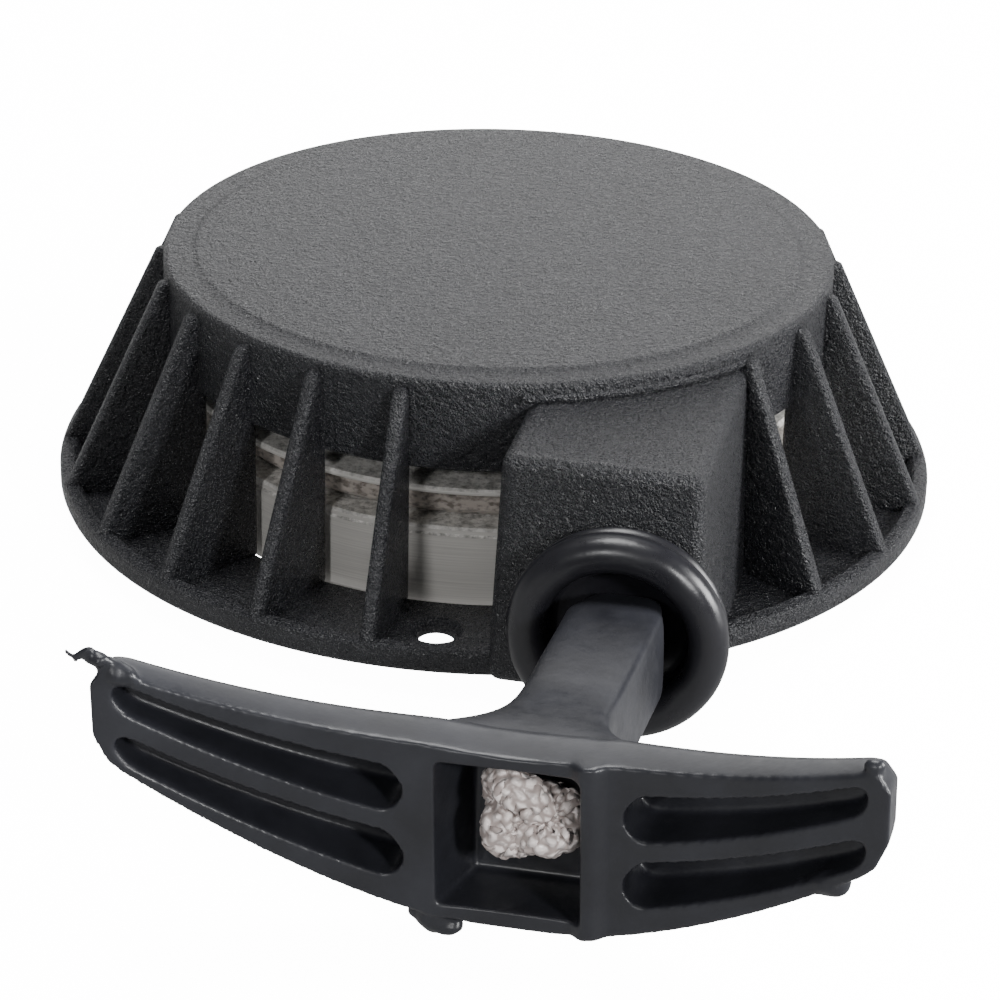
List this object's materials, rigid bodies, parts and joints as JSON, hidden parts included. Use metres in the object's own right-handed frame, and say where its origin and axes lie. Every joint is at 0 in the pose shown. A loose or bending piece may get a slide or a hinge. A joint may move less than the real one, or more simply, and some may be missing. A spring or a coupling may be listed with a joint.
{
  "type": "recoil starter",
  "caption": "Pull starter for a small two-stroke engine: black ribbed housing with a rope guide, sprung rope reel, drive cup and a T-handle on a braided rope.",
  "frame": {"origin": "centre of the mounting flange's underside, on the reel's axis", "axes": "+Z along the reel's axis, away from the engine; the rope leaves towards -Y, turned 12 degrees towards -X, and +X is to the right when looking from the handle at the housing"},
  "size_m": [0.12, 0.195, 0.0358],
  "materials": {
    "crinkle": "rough black texture paint on a casting",
    "plastic": "moulded black plastic, satin",
    "gloss_plastic": "polished black plastic",
    "aluminium": "die cast, turned on the outside",
    "steel": "zinc plated",
    "blued_steel": "blued and oiled",
    "bronze": "sintered bronze",
    "rope": "braided cord"
  },
  "bodies": {
    "housing": {"housing": "crinkle", "spring_case": "blued_steel", "recoil_spring": "steel", "spring_cover": "steel", "cover_screw_1": "steel", "cover_screw_2": "steel", "cover_screw_3": "steel", "thrust_washer": "steel", "wave_washer": "steel", "retaining_washer": "steel", "lock_washer": "blued_steel", "center_screw": "steel", "guide_bushing": "gloss_plastic", "guide_clip": "steel"},
    "reel": {"reel": "aluminium", "drive_cup": "steel", "cup_rivet_1": "aluminium", "cup_rivet_2": "aluminium", "cup_rivet_3": "aluminium", "reel_bush": "bronze", "rope_coil": "rope", "reel_knot": "rope"},
    "handle": {"handle_grip": "plastic", "knot_washer": "steel", "handle_knot": "rope", "rope_run": "rope"}
  },
  "joints": [
    {"name": "reel_spin", "type": "hinge", "parent": "housing", "child": "reel", "pos_m": [0, 0, 0.012], "axis": [0, 0, -1], "range_deg": [0, 954], "stiffness_Nm_per_rad": 0.004, "springref_deg": -1432.39},
    {"name": "handle_pull", "type": "slide", "parent": "housing", "child": "handle", "axis": [-0.2079, -0.9781, 0], "range_m": [0, 0.6]}
  ],
  "couplings": [
    {"joint": "handle_pull", "follows": "reel_spin", "m_per_rad": 0.036}
  ]
}
